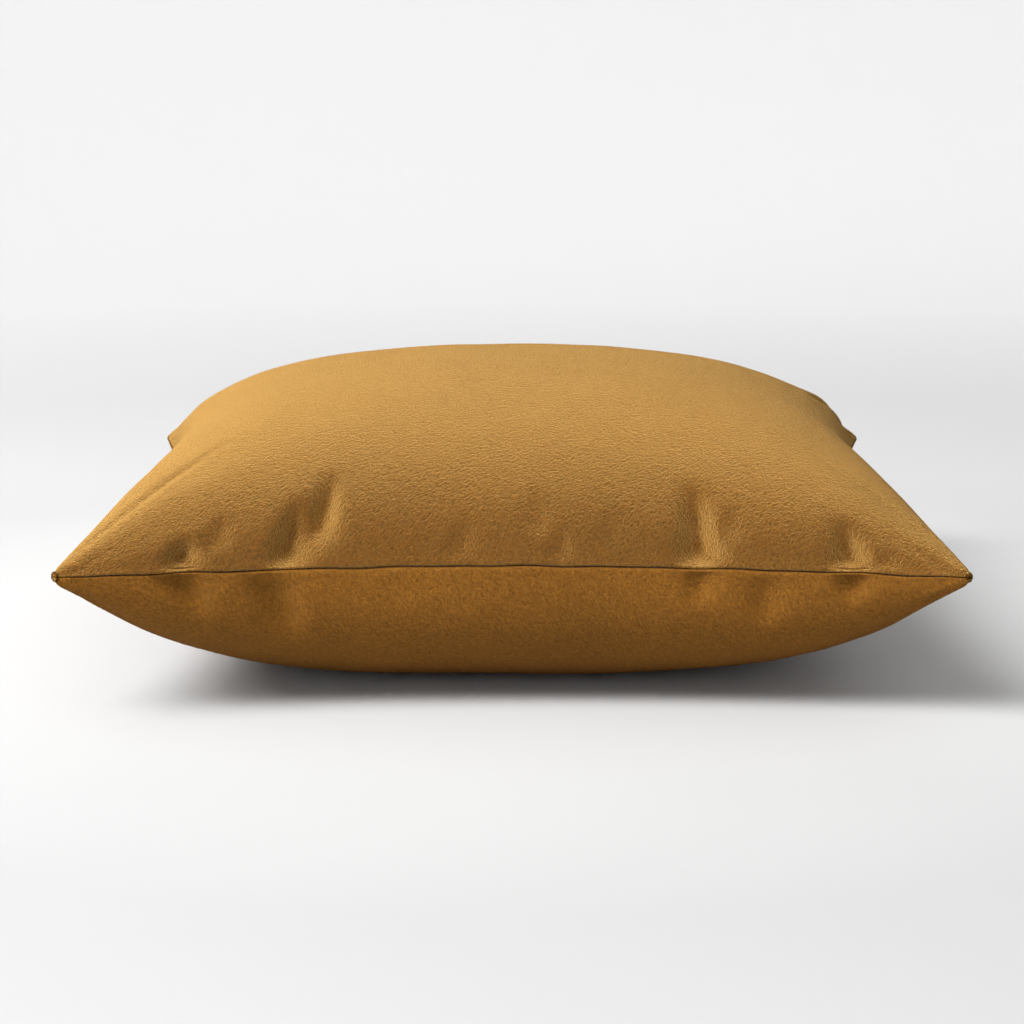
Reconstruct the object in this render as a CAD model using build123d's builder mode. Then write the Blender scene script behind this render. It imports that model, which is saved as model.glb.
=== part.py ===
"""A square knife-edge throw pillow in millimetres: a velvet cover closed by a concealed zipper, and the stuffed
insert inside it. +Z is up, the origin is on the surface that the pillow lies on, below the pillow's middle, and
the zipper runs along the +Y edge."""

import math
import os

from build123d import *

os.makedirs("parts", exist_ok=True)

# Plan: four edges drawn in between the corners, each of them a circular arc
HALF_SIDE = 216.5  # from the middle to an unblunted corner, along X and along Y
PULL_IN = 27.0  # how far the middle of an edge lies inside the line between its corners
TIP_CUT = 0.983  # the corners are blunted at this part of their distance from the middle
EDGE_RADIUS = (HALF_SIDE**2 + PULL_IN**2) / (2 * PULL_IN)
ARC_CENTRE = HALF_SIDE - PULL_IN + EDGE_RADIUS  # distance from the middle to the centre of an edge's arc

# Height: two domes meeting in the flat plane of the seam
SEAM_Z = 74.0
TOP, BOTTOM = 1, -1
DOME_HEIGHT = {TOP: 79.0, BOTTOM: 78.5}
DOME_POWER = {TOP: 2.54, BOTTOM: 3.0}  # how flat the crown is
DOME_EDGE = 0.43  # how steeply a dome leaves the seam
DOME_POINTS = 25
DOME_TOLERANCE = 0.01
TALL = 400.0  # taller than anything here, and as wide as anything when doubled
PAST = 1.0  # how far a cutting shape reaches past what it cuts

# Cover
VELVET = 1.2
ALLOWANCE = 12.0  # the cloth turned back inside, measured from the seam
SEAM_GAP = 0.3  # half of the gap between the two panels, in which the seam thread lies
THREAD_RADIUS = 0.25
THREAD_GAP = 1.0  # between the end of a line of stitching and what it stops at
BEAD = 1.1  # width and depth of the overlock bead on the allowance's raw edge
BEAD_CLEAR = 0.2
BEAD_POINTS = 8  # points of the bead's line in each eighth of the way round

# Zipper, on the +Y edge
ZIP_HALF = 175.0
SLIT = 0.9  # half of the slit that the slider's neck runs in
TAPE = 0.4
TAPE_INSET = 2 * VELVET + 0.1
TAPE_WIDTH = 8.5
COIL_RADIUS = 0.7
COIL_INSET = TAPE_INSET + TAPE + 0.05 + COIL_RADIUS
COIL_Z = SLIT + COIL_RADIUS
STOP_LENGTH = 2.0
STOP_GAP = 0.5  # between a stop and the end of the coil
STOP_ROUND = 0.3
SLIDER_LENGTH = 9.0
SLIDER_REST_X = -164.0
TAPE_THREAD_RADIUS = 0.15
TAPE_THREAD_Z = 5.0
TAPE_LEAN = 0.4  # the tape leans in by about this much at its line of stitching

# Slider and pull tab, measured outwards from the seam's edge, or inwards where the name says inset
NECK = (4.0, 1.1)  # along the seam, and up
NECK_ROUND = 0.4
CHANNEL_INSET = COIL_INSET + COIL_RADIUS + 0.35
BACK_PLATE = (7.2, 1.0)  # height and thickness
BACK_ROUND = 1.5
FLANGE = 0.95
FLANGE_LENGTH = SLIDER_LENGTH - 2 * BACK_ROUND
FLANGE_INSET = TAPE_INSET + TAPE + 0.35
FRONT_PLATE = (8.0, 4.4, 0.8)  # along the seam, up, and thickness
FRONT_ROUND = 1.6
FRONT_OUT = 0.5
CROWN_OUT = 3.7  # middle of the crown's strap, which the tab hangs on
CROWN = (6.8, 1.0, 0.7)  # along the seam, up, and thickness
CROWN_ROUND = 0.3
CROWN_LEG = 0.8
TAB_LENGTH = 20.0
TAB_END, TAB_NECK = 3.0, 1.7  # radius of its round end, and of its narrow end round the hole
TAB_THICK = 1.0
TAB_HOLE = 1.0
TAB_CHAMFER = 0.2

# Insert
INSERT_INSET = 9.0  # the insert's edge inside the cover's edge
INSERT_THINNER = 2.0  # and its top and underside inside the cover's outside
CASING = 0.8
INSERT_GAP = 0.2
INSERT_THREAD_RADIUS = 0.15
THREAD_TURN = 4.0  # radius of both seam threads at a corner
CLOSED_HALF = 75.0  # half of the length sewn shut after filling
FILL_CLEAR = 0.6

# Labels
LABEL_THICK = 0.3
LABEL_HALF = 15.0
LABEL_DROP = 22.0
COVER_LABEL = (1.6, 5.3)  # insets at which the cover's label starts in its seam and turns down
INSERT_LABEL = (9.5, 6.0)  # and the insert's


def edge_inset(along):
    """How far the cover's edge lies inside the line between its corners, at a distance from the edge's middle."""
    return math.sqrt(EDGE_RADIUS**2 - along**2) - (EDGE_RADIUS - PULL_IN)


def dome_height(side, across, along, height):
    """Height of a dome above the seam's plane, at -1 to 1 across it and along it."""
    fall = (1 - abs(across) ** DOME_POWER[side]) * (1 - abs(along) ** DOME_POWER[side])
    return side * height * max(fall, 0.0) ** DOME_EDGE


def corner(inset):
    """Where two neighbouring edges meet, as a distance along X and along Y, inside the cover's edges by inset."""
    centre = ARC_CENTRE - inset
    return (centre - math.sqrt(2 * EDGE_RADIUS**2 - centre**2)) / 2


def dome(side, inset, thinner=None):
    """Half of a pillow from the seam's plane outwards, smaller than the cover by inset and thinner."""
    thinner = inset if thinner is None else thinner
    tip = corner(inset)
    steps = [math.sin(math.pi / 2 * (2 * i / (DOME_POINTS - 1) - 1)) for i in range(DOME_POINTS)]
    rows = []
    for across in steps:
        row = []
        for along in steps:
            x = across * (HALF_SIDE - edge_inset(along * tip) - inset)
            y = along * (HALF_SIDE - edge_inset(across * tip) - inset)
            z = SEAM_Z + dome_height(side, across, along, DOME_HEIGHT[side] - thinner)
            row.append((x, y, z))
        rows.append(row)
    skin = Face.make_surface_from_array_of_points(rows, tol=DOME_TOLERANCE, min_deg=3, max_deg=5)
    seam_face = Face(Wire(skin.edges()))
    with BuildPart() as half:
        add(Solid(Shell([skin, seam_face])))
        Cylinder(TIP_CUT * math.hypot(tip, tip), TALL, mode=Mode.INTERSECT)
        split(bisect_by=Plane.XY.offset(thinner), keep=Keep.TOP)
    return half.part


def band(side, low, high):
    """Everything between two distances from the seam's plane, on one side of it."""
    with BuildPart(Plane.XY.offset(SEAM_Z + side * (low + high) / 2)) as slab:
        Box(TALL * 2, TALL * 2, high - low)
    return slab.part


def along_zip(half_length, low, high):
    """A block over the zipper's stretch of the +Y edge, between two heights over the seam's plane."""
    with BuildPart(Plane((0, HALF_SIDE, SEAM_Z + (low + high) / 2))) as block:
        Box(2 * half_length, 3 * PULL_IN, high - low)
    return block.part


def edge_point(along, inset):
    """A point of the +Y edge, inside the cover's edge by inset."""
    return (along, HALF_SIDE - edge_inset(along) - inset)


def seam_thread(inset, radius, opening):
    """A thread in the seam's plane, inside the cover's edge by inset, all round but for the +Y edge's opening."""
    tip, middle, halfway = corner(inset), HALF_SIDE - PULL_IN - inset, (corner(inset) + opening) / 2
    with BuildLine(Plane.XY.offset(SEAM_Z)) as line:
        ThreePointArc(edge_point(opening, inset), edge_point(halfway, inset), (tip, tip))
        ThreePointArc((tip, tip), (middle, 0), (tip, -tip))
        ThreePointArc((tip, -tip), (0, -middle), (-tip, -tip))
        ThreePointArc((-tip, -tip), (-middle, 0), (-tip, tip))
        ThreePointArc((-tip, tip), edge_point(-halfway, inset), edge_point(-opening, inset))
        corners = line.vertices().sort_by(lambda vertex: math.hypot(vertex.X, vertex.Y))[-4:]
        fillet(corners, THREAD_TURN)
    path = line.wires()[0]
    with BuildPart() as thread:
        with BuildSketch(Plane(path.position_at(0), z_dir=path.tangent_at(0))):
            Circle(radius)
        sweep(path=path)
    return thread.part


def zip_arc(inset, height, start_x, end_x):
    """An arc that runs beside the +Y edge, inside it by inset and over the seam's plane by height."""
    radius = EDGE_RADIUS + inset
    start, end = (math.degrees(math.asin(x / EDGE_RADIUS)) for x in (start_x, end_x))
    with BuildLine(Plane.XY.offset(SEAM_Z + height)) as line:
        CenterArc((0, ARC_CENTRE), radius, start - 90, end - start)
    return line.wires()[0]


def zip_rod(inset, height, radius, start_x, end_x):
    """A round rod along a stretch of the zipper."""
    path = zip_arc(inset, height, start_x, end_x)
    with BuildPart() as rod:
        with BuildSketch(Plane(path.position_at(0), z_dir=path.tangent_at(0))):
            Circle(radius)
        sweep(path=path)
    return rod.part


def zip_plane(x):
    """The plane at a place along the zipper: its normal points out of the pillow and its Y axis points up."""
    turn = math.asin(x / EDGE_RADIUS)
    out = (-math.sin(turn), math.cos(turn), 0)
    place = (x, ARC_CENTRE - EDGE_RADIUS * math.cos(turn), SEAM_Z)
    return Plane(place, x_dir=(-math.cos(turn), -math.sin(turn), 0), z_dir=out)


def write(piece, name):
    """Labels a finished piece and writes its STEP file."""
    piece.part.label = name
    export_step(piece.part, f"parts/{name}.step")


def cover_panel(side, name):
    """One velvet panel: a thin dome, twice as thick near the seam where its allowance is turned back."""
    outer = dome(side, 0)
    hollow = dome(side, VELVET)
    hollow_at_seam = dome(side, 2 * VELVET)
    with BuildPart() as above:
        add(hollow)
        add(band(side, ALLOWANCE, TALL / 2), mode=Mode.INTERSECT)
    with BuildPart() as beside:
        add(hollow_at_seam)
        add(band(side, 0, ALLOWANCE + PAST), mode=Mode.INTERSECT)
    with BuildPart() as panel:
        add(outer)
        add(above.part, mode=Mode.SUBTRACT)
        add(beside.part, mode=Mode.SUBTRACT)
        add(band(side, -PAST, SEAM_GAP), mode=Mode.SUBTRACT)
        add(along_zip(ZIP_HALF, -SLIT, SLIT), mode=Mode.SUBTRACT)
    write(panel, name)


def wall_layer(side, outer_inset, inner_inset, low, high):
    """A strip that follows the inside of the cover's wall, between two distances from the seam's plane."""
    outside, inside = dome(side, outer_inset), dome(side, inner_inset)
    slab = band(side, low, high)
    with BuildPart() as layer:
        add(outside)
        add(slab, mode=Mode.INTERSECT)
        add(inside, mode=Mode.SUBTRACT)
    return layer.part


def level_loop(side, inset, height):
    """Points on a dome, all at one height over the seam's plane, once round from the +X side."""
    power, tip = DOME_POWER[side], corner(inset)
    level = (height / (DOME_HEIGHT[side] - inset)) ** (1 / DOME_EDGE)
    diagonal = (1 - math.sqrt(level)) ** (1 / power)
    eighth = []
    for i in range(BEAD_POINTS + 1):
        along = diagonal * math.sin(math.pi / 2 * i / BEAD_POINTS)
        across = (1 - level / (1 - along**power)) ** (1 / power)
        x = across * (HALF_SIDE - edge_inset(along * tip) - inset)
        y = along * (HALF_SIDE - edge_inset(across * tip) - inset)
        eighth.append(Vector(x, y))
    quarter = eighth + [Vector(point.Y, point.X) for point in eighth[-2:0:-1]]
    return [point.rotate(Axis.Z, 90 * turn) for turn in range(4) for point in quarter]


def overlock_thread(side, name):
    """The thread bead that binds the raw edge of a panel's allowance, all the way round."""
    start = ALLOWANCE + BEAD_CLEAR
    outer_line = level_loop(side, VELVET + BEAD_CLEAR, start + BEAD + BEAD_CLEAR)
    inner_line = level_loop(side, VELVET + BEAD_CLEAR + BEAD, start + BEAD + BEAD_CLEAR)
    with BuildPart() as bead:
        with BuildSketch(Plane.XY.offset(SEAM_Z + side * start)):
            with BuildLine():
                Spline(*outer_line, periodic=True)
            make_face()
            with BuildLine():
                Spline(*inner_line, periodic=True)
            make_face(mode=Mode.SUBTRACT)
        extrude(amount=side * BEAD)
    write(bead, name)


def zipper_tape(side, name):
    """A woven tape sewn to the turned-back allowance."""
    strip = wall_layer(side, TAPE_INSET, TAPE_INSET + TAPE, SLIT, SLIT + TAPE_WIDTH)
    with BuildPart() as tape:
        add(strip)
        add(along_zip(ZIP_HALF, -ALLOWANCE, ALLOWANCE), mode=Mode.INTERSECT)
    write(tape, name)


def zipper_coil(side, name):
    """One row of the coil, on the tape's edge, between the stops."""
    reach = ZIP_HALF - 2 * STOP_LENGTH - STOP_GAP
    rod = zip_rod(COIL_INSET, side * COIL_Z, COIL_RADIUS, -reach, reach)
    with BuildPart() as coil:
        add(rod)
    write(coil, name)


def tape_thread(side, name):
    """The line of stitching that holds a tape to its allowance."""
    inset = TAPE_INSET + TAPE + TAPE_LEAN + TAPE_THREAD_RADIUS
    reach = ZIP_HALF - THREAD_GAP
    rod = zip_rod(inset, side * TAPE_THREAD_Z, TAPE_THREAD_RADIUS, -reach, reach)
    with BuildPart() as thread:
        add(rod)
    write(thread, name)


def zipper_top_stops():
    """A crimped stop at the closed end of each coil row, which the slider rests against."""
    plane = zip_plane(-ZIP_HALF + STOP_LENGTH)
    with BuildPart() as stops:
        with BuildSketch(plane.offset(-COIL_INSET - COIL_RADIUS)):
            with Locations((0, COIL_Z), (0, -COIL_Z)):
                RectangleRounded(STOP_LENGTH, 2 * COIL_RADIUS, STOP_ROUND)
        extrude(amount=2 * COIL_RADIUS)
    write(stops, "zipper_top_stops")


def zipper_bottom_stop():
    """The crimped bar across both coil rows at the end where the zipper opens last."""
    plane = zip_plane(ZIP_HALF - STOP_LENGTH)
    with BuildPart() as stop:
        with BuildSketch(plane.offset(-COIL_INSET - COIL_RADIUS)):
            RectangleRounded(STOP_LENGTH, 2 * (COIL_Z + COIL_RADIUS), STOP_ROUND)
        extrude(amount=2 * COIL_RADIUS)
    write(stop, "zipper_bottom_stop")


def zipper_slider(plane):
    """A back plate with two coil channels inside, a neck through the slit, and a plate with a crown outside."""
    plate_height, plate_thick = BACK_PLATE
    front_length, front_height, front_thick = FRONT_PLATE
    crown_length, crown_height, crown_thick = CROWN
    front_face = FRONT_OUT + front_thick
    strap_face = CROWN_OUT - crown_thick / 2
    with BuildPart() as slider:
        with BuildSketch(plane.offset(-CHANNEL_INSET - plate_thick)):
            RectangleRounded(SLIDER_LENGTH, plate_height, BACK_ROUND)
        extrude(amount=plate_thick)
        with BuildSketch(plane.offset(-CHANNEL_INSET)):
            with Locations((0, (plate_height - FLANGE) / 2), (0, (FLANGE - plate_height) / 2)):
                Rectangle(FLANGE_LENGTH, FLANGE)
        extrude(amount=CHANNEL_INSET - FLANGE_INSET)
        with BuildSketch(plane.offset(-CHANNEL_INSET)):
            RectangleRounded(*NECK, NECK_ROUND)
        extrude(amount=CHANNEL_INSET + FRONT_OUT)
        with BuildSketch(plane.offset(FRONT_OUT)):
            RectangleRounded(front_length, front_height, FRONT_ROUND)
        extrude(amount=front_thick)
        with BuildSketch(plane.offset(front_face)):
            with Locations(((crown_length - CROWN_LEG) / 2, 0), ((CROWN_LEG - crown_length) / 2, 0)):
                Rectangle(CROWN_LEG, crown_height)
        extrude(amount=strap_face - front_face)
        with BuildSketch(plane.offset(strap_face)):
            RectangleRounded(crown_length, crown_height, CROWN_ROUND)
        extrude(amount=crown_thick)
    write(slider, "zipper_slider")


def pull_tab(plane):
    """The drop-shaped tab that hangs on the crown's strap, edge-on to the pillow, with the strap through its hole."""
    across = Plane(plane.from_local_coords((0, 0, CROWN_OUT)), x_dir=plane.z_dir, z_dir=-plane.x_dir)
    end_y = TAB_NECK + TAB_END - TAB_LENGTH
    with BuildPart() as tab:
        with BuildSketch(across.offset(-TAB_THICK / 2)):
            Circle(TAB_NECK)
            with Locations((0, end_y)):
                Circle(TAB_END)
            make_hull()
            Circle(TAB_HOLE, mode=Mode.SUBTRACT)
        extrude(amount=TAB_THICK)
        sides = tab.faces().filter_by(Axis((0, 0, 0), across.z_dir))
        chamfer([edge for face in sides for edge in face.outer_wire().edges()], TAB_CHAMFER)
    write(tab, "pull_tab")


def cover_seam_thread():
    """The lockstitched thread of the cover's seam, which stops where the zipper starts."""
    line = seam_thread(VELVET, THREAD_RADIUS, ZIP_HALF + THREAD_GAP)
    with BuildPart() as thread:
        add(line)
    write(thread, "cover_seam_thread")


def insert_threads():
    """The insert's machine-sewn seam, and the stretch of its +Y edge that is closed after filling."""
    inset = INSERT_INSET + CASING
    line = seam_thread(inset, INSERT_THREAD_RADIUS, CLOSED_HALF + THREAD_GAP)
    with BuildPart() as sewn:
        add(line)
    write(sewn, "insert_seam_thread")
    rod = zip_rod(inset, 0, INSERT_THREAD_RADIUS, -CLOSED_HALF, CLOSED_HALF)
    with BuildPart() as closed:
        add(rod)
    write(closed, "insert_closing_thread")


def insert_casing(side, name):
    """One panel of the insert's plain casing."""
    outer = dome(side, INSERT_INSET, INSERT_THINNER)
    hollow = dome(side, INSERT_INSET + 2 * CASING, INSERT_THINNER + CASING)
    with BuildPart() as casing:
        add(outer)
        add(hollow, mode=Mode.SUBTRACT)
        add(band(side, -PAST, INSERT_GAP), mode=Mode.SUBTRACT)
    write(casing, name)


def fibre_fill():
    """The stuffing, as one solid that fills the casing."""
    inset = INSERT_INSET + 2 * CASING + FILL_CLEAR
    thinner = INSERT_THINNER + CASING + FILL_CLEAR
    upper, lower = dome(TOP, inset, thinner), dome(BOTTOM, inset, thinner)
    with BuildPart() as fill:
        add(upper)
        add(lower)
    write(fill, "fibre_fill")


def hanging_label(side, insets, name):
    """A tape label caught in a seam and folded down between the cover's wall and the insert, on the +X or -X side."""
    start, fold = insets
    edge = HALF_SIDE - PULL_IN
    turn = fold + math.copysign(LABEL_THICK / 2, start - fold)
    with BuildPart() as label:
        with BuildSketch(Plane.XZ):
            with Locations((side * (edge - (start + fold) / 2), SEAM_Z)):
                Rectangle(abs(start - fold), LABEL_THICK)
            with Locations((side * (edge - turn), SEAM_Z - LABEL_DROP / 2)):
                Rectangle(LABEL_THICK, LABEL_DROP)
        extrude(amount=LABEL_HALF, both=True)
    write(label, name)


cover_panel(TOP, "cover_top_panel")
cover_panel(BOTTOM, "cover_bottom_panel")
cover_seam_thread()
for side, word in ((TOP, "top"), (BOTTOM, "bottom")):
    overlock_thread(side, f"overlock_thread_{word}")
    zipper_tape(side, f"zipper_tape_{word}")
    zipper_coil(side, f"zipper_coil_{word}")
    tape_thread(side, f"tape_thread_{word}")
    insert_casing(side, f"insert_casing_{word}")
zipper_top_stops()
zipper_bottom_stop()
slider_plane = zip_plane(SLIDER_REST_X)
zipper_slider(slider_plane)
pull_tab(slider_plane)
insert_threads()
fibre_fill()
hanging_label(-1, COVER_LABEL, "care_label")
hanging_label(1, INSERT_LABEL, "insert_label")
travel = 2 * math.degrees(math.asin(-SLIDER_REST_X / EDGE_RADIUS))
print(f"slider: turns about Z at y {ARC_CENTRE:.3f}, by {travel:.3f} degrees")
print("pull tab: hangs at", slider_plane.from_local_coords((0, 0, CROWN_OUT)), "along", slider_plane.x_dir)
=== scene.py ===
"""Looks of the square velvet throw pillow, in metres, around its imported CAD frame. +Z is up, the front
edge is at -Y and the zipper is on the +Y edge."""
import math
import bpy
import numpy as np
from mathutils import Matrix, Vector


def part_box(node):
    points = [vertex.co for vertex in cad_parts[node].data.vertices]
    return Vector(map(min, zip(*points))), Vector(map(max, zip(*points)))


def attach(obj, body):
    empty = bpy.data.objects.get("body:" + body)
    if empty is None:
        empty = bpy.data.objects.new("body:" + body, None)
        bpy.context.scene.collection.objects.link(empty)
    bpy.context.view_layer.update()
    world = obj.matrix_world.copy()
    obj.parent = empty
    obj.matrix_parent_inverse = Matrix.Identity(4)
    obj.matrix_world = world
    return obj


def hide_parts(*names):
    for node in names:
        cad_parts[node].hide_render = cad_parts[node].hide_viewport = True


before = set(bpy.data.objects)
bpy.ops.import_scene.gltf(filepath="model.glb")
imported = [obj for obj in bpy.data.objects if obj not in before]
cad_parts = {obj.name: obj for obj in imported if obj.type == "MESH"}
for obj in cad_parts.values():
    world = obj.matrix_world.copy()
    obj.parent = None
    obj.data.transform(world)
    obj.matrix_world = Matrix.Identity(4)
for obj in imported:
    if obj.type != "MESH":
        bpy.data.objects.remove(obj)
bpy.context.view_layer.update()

# ---------------------------------------------------------------- sizes, as in the CAD model
MM = 0.001
HALF_SIDE = 216.5 * MM  # from the middle to an unblunted corner, along X and along Y
PULL_IN = 27 * MM  # how far the middle of an edge lies inside the line between its corners
EDGE_RADIUS = (HALF_SIDE**2 + PULL_IN**2) / (2 * PULL_IN)
ARC_CENTRE = HALF_SIDE - PULL_IN + EDGE_RADIUS  # distance from the middle to the centre of an edge's arc
SEAM_LOW, SEAM_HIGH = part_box("cover_seam_thread")
SEAM_Z = (SEAM_LOW[2] + SEAM_HIGH[2]) / 2
TOP_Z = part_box("cover_top_panel")[1][2]
TOP, BOTTOM = 1, -1
SIDES = {TOP: "top", BOTTOM: "bottom"}
DOME_HEIGHT = {TOP: TOP_Z - SEAM_Z, BOTTOM: 78.5 * MM}
DOME_POWER = {TOP: 2.54, BOTTOM: 3.0}
DOME_EDGE = 0.43
FLAT_HALF = 225 * MM  # half of the flat panel that is sewn into the pillow
VELVET = 1.2 * MM
ALLOWANCE = 12 * MM  # the cloth turned back inside, measured over the cloth from the seam
ZIP_HALF = 175 * MM
SLIT = 0.7 * MM  # half of the slit at the zipper
TAPE = 0.4 * MM
TAPE_DEPTH = 2.5 * MM  # from the cover's outside to the tape
TAPE_FROM, TAPE_TO = 0.9 * MM, 9.4 * MM  # from the seam
TAPE_STITCH_DEPTH, TAPE_STITCH_Z = 3.45 * MM, 5 * MM
COIL_DEPTH, COIL_Z, COIL_OUTER, COIL_HALF = 3.65 * MM, 1.6 * MM, 0.7 * MM, 170.5 * MM
CASING = 0.8 * MM
INSERT_INSET, INSERT_THINNER = 9 * MM, 2.2 * MM
FILL_INSET, FILL_THINNER = 11.2 * MM, 3.7 * MM
CLOSED_HALF = 75 * MM  # half of the length of the insert's seam that is sewn shut after filling
LABEL_THICK, LABEL_HALF, LABEL_DROP = 0.3 * MM, 15 * MM, 22 * MM
COVER_LABEL = (1.75 * MM, 5.45 * MM)  # insets at which the cover's label starts in its seam and turns down
INSERT_LABEL = (9.35 * MM, 5.9 * MM)

# ---------------------------------------------------------------- sizes of what only the looks have
TIP_RADIUS = 303.5 * MM  # the blunted corners' distance from the middle
TIP_ROUND = 5 * MM
TIP_THIN, TIP_THIN_FROM = 0.22, 235 * MM  # share of the height lost towards a corner, and from where
FLOOR_SOFT = 3 * MM  # how softly the underside flattens on the floor
GRID_STEP = 2.35 * MM
NEAR_SEAM = [0, 0.25, 0.5, 0.8, 1.2, 1.8, 2.7, 4.0, 5.7]  # rows of points beside the seam, in mm from it
CASING_STEP, CASING_NEAR_SEAM = 4.4 * MM, [0, 0.6, 1.4, 2.6, 4.2, 6.4]
CASING_LOWEST, CASING_APART = 1.4 * MM, 0.2 * MM  # where it flattens, and each panel's shift off the seam
FIBRE_STEP, FIBRE_NEAR_SEAM, FIBRE_LOWEST = 3.6 * MM, [0, 1.5], 2.9 * MM
GROOVE, GROOVE_WIDTH = 1.2 * MM, 0.5 * MM
LIP, LIP_AT, LIP_WIDTH = {TOP: 0.6 * MM, BOTTOM: 0.25 * MM}, 2.2 * MM, 1.8 * MM
SEAM_WAVE = 0.35 * MM
DENT_PLACES = (-1.5, -1.15, -0.85, -0.12, 0.05, 0.45, 0.95, 1.4, 1.8)  # across a dent, in its widths
DENT_DEPTHS = (0, 0.08, 0.26, 0.95, 1, 0.72, 0.26, 0.06, 0)  # and the share of its depth at each
DENT_NARROWING = 0.45  # share of its width that a dent loses on its way from the seam
ZIP_CALM, ZIP_STILL = 25 * MM, 12 * MM  # distances over which folds, and creases, return beside the zipper
FOLDS_FADE, FOLDS_GONE = 0.8, 0.15  # share of the cloth from which folds fade into a corner, and over which
TIP_FADE, TIP_GONE = 0.72, 0.26  # the same for the seam's lip and groove
LUMPS, SMALL_LUMPS = 0.5 * MM, 0.2 * MM  # in every layer
CLUMPS, TUFTS = 1.2 * MM, 0.7 * MM  # in the fibre's surface
NAP_BUMP = 2.4 * MM  # the bump distance that the pile's noise is given
LABEL_BEND = 1.2 * MM  # radius at which a label turns down from its seam
BAG_SLACK = 12 * MM  # how much lower than the dome the cloth simulation starts, on each side
BLUR_TIMES = 60  # smoothing that takes the small folds out of the simulated moves
STITCH_STEP = 0.25 * MM  # distance between the points of a line that is split into stitches
STITCH_ENDS = np.array([0.45, 0.85, 1, 1, 1, 0.85, 0.45])  # a stitch's thickness along it, as shares
SEAM_THREAD, FINE_THREAD, CLOSING_THREAD = 0.25 * MM, 0.16 * MM, 0.18 * MM  # radii
OVERLOCK_THREAD, OVERLOCK_RADIUS, OVERLOCK_PITCH = 0.14 * MM, 0.38 * MM, 1.8 * MM
OVERLOCK_DEPTH = 1.95 * MM  # from the cover's outside to the middle of the overlock
COIL_WIRE, COIL_PITCH = 0.2 * MM, 1.25 * MM


# ---------------------------------------------------------------- camera, stage and lights
def make_camera():
    """A camera in front of the pillow and a little above it."""
    data = bpy.data.cameras.new("camera")
    data.sensor_width = 36.0
    data.lens = 93.0
    camera = bpy.data.objects.new("camera", data)
    camera.location = (0, -1.4257, 0.3256)
    camera.rotation_euler = (math.radians(90 - 10.32), 0, 0)
    bpy.context.scene.collection.objects.link(camera)
    bpy.context.scene.camera = camera


def new_object(name, points, faces):
    """A smooth mesh object from a list of points and a list of faces."""
    mesh = bpy.data.meshes.new(name)
    mesh.from_pydata([tuple(p) for p in points], [], [tuple(f) for f in faces])
    mesh.update()
    mesh.shade_smooth()
    thing = bpy.data.objects.new(name, mesh)
    bpy.context.scene.collection.objects.link(thing)
    return thing


def make_stage():
    """A round pale floor that turns up into a low wall far from the pillow."""
    turns, radius, bend, wall = 96, 3.0, 1.2, 2.6
    profile = [(0.6, 0.0), (1.2, 0.0), (radius - bend, 0.0)]
    for i in range(1, 13):
        angle = math.radians(90 * i / 12)
        profile.append((radius - bend + bend * math.sin(angle), bend - bend * math.cos(angle)))
    profile.append((radius, wall))
    points, faces = [(0.0, 0.0, 0.0)], []
    for r, z in profile:
        for k in range(turns):
            angle = 2 * math.pi * k / turns
            points.append((r * math.cos(angle), r * math.sin(angle), z))
    for k in range(turns):
        faces.append((0, 1 + k, 1 + (k + 1) % turns))
    for ring in range(len(profile) - 1):
        for k in range(turns):
            a, b = 1 + ring * turns + k, 1 + ring * turns + (k + 1) % turns
            faces.append((a, a + turns, b + turns, b))
    floor = new_object("floor", points, faces)
    floor.data.materials.append(stage_paper(radius))


def make_lights():
    """Two soft boxes at the upper left front, weak broad fills from front and back, and a pale surround."""
    scene = bpy.context.scene
    scene.world = bpy.data.worlds.new("world")
    scene.world.use_nodes = True
    surround = scene.world.node_tree.nodes["Background"]
    surround.inputs["Color"].default_value = (1, 1, 1, 1)
    surround.inputs["Strength"].default_value = 0.56
    add_area("key", (-1.5, -1.56, 2.32), (0.0, 0.0, 0.05), (1.8, 1.3), 151)
    add_area("left_key", (-2.08, -1.3, 1.68), (0.0, 0.0, 0.05), (1.3, 0.9), 62)
    add_area("front_fill", (-0.3, -2.4, 0.7), (0.0, 0.0, 0.0), (3.6, 1.0), 17)
    add_area("back_fill", (0.3, 2.4, 1.6), (0.0, 0.0, 0.0), (2.4, 1.0), 17)
    scene.view_settings.view_transform = "Standard"
    scene.view_settings.look = "None"


def add_area(name, place, target, size, power):
    """A rectangular area light at a place, turned to a target, its long side level."""
    data = bpy.data.lights.new(name, "AREA")
    data.shape = "RECTANGLE"
    data.size, data.size_y = size
    data.energy = power
    light = bpy.data.objects.new(name, data)
    direction = unit(np.array(target) - np.array(place))
    side = unit(np.cross(direction, (0, 0, 1)))
    up = np.cross(side, direction)
    light.matrix_world = Matrix.Translation(place) @ Matrix((side, up, -direction)).transposed().to_4x4()
    bpy.context.scene.collection.objects.link(light)


# ---------------------------------------------------------------- small helpers
def unit(vectors):
    """Vectors scaled to length 1."""
    return vectors / np.maximum(np.linalg.norm(vectors, axis=-1, keepdims=True), 1e-12)


def smooth_step(t):
    """0 below 0, 1 above 1, and smooth between."""
    t = np.clip(t, 0, 1)
    return t * t * (3 - 2 * t)


def bell(t):
    """1 at 0, and falls smoothly to nothing by about 2."""
    return np.exp(-(t**2))


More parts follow.
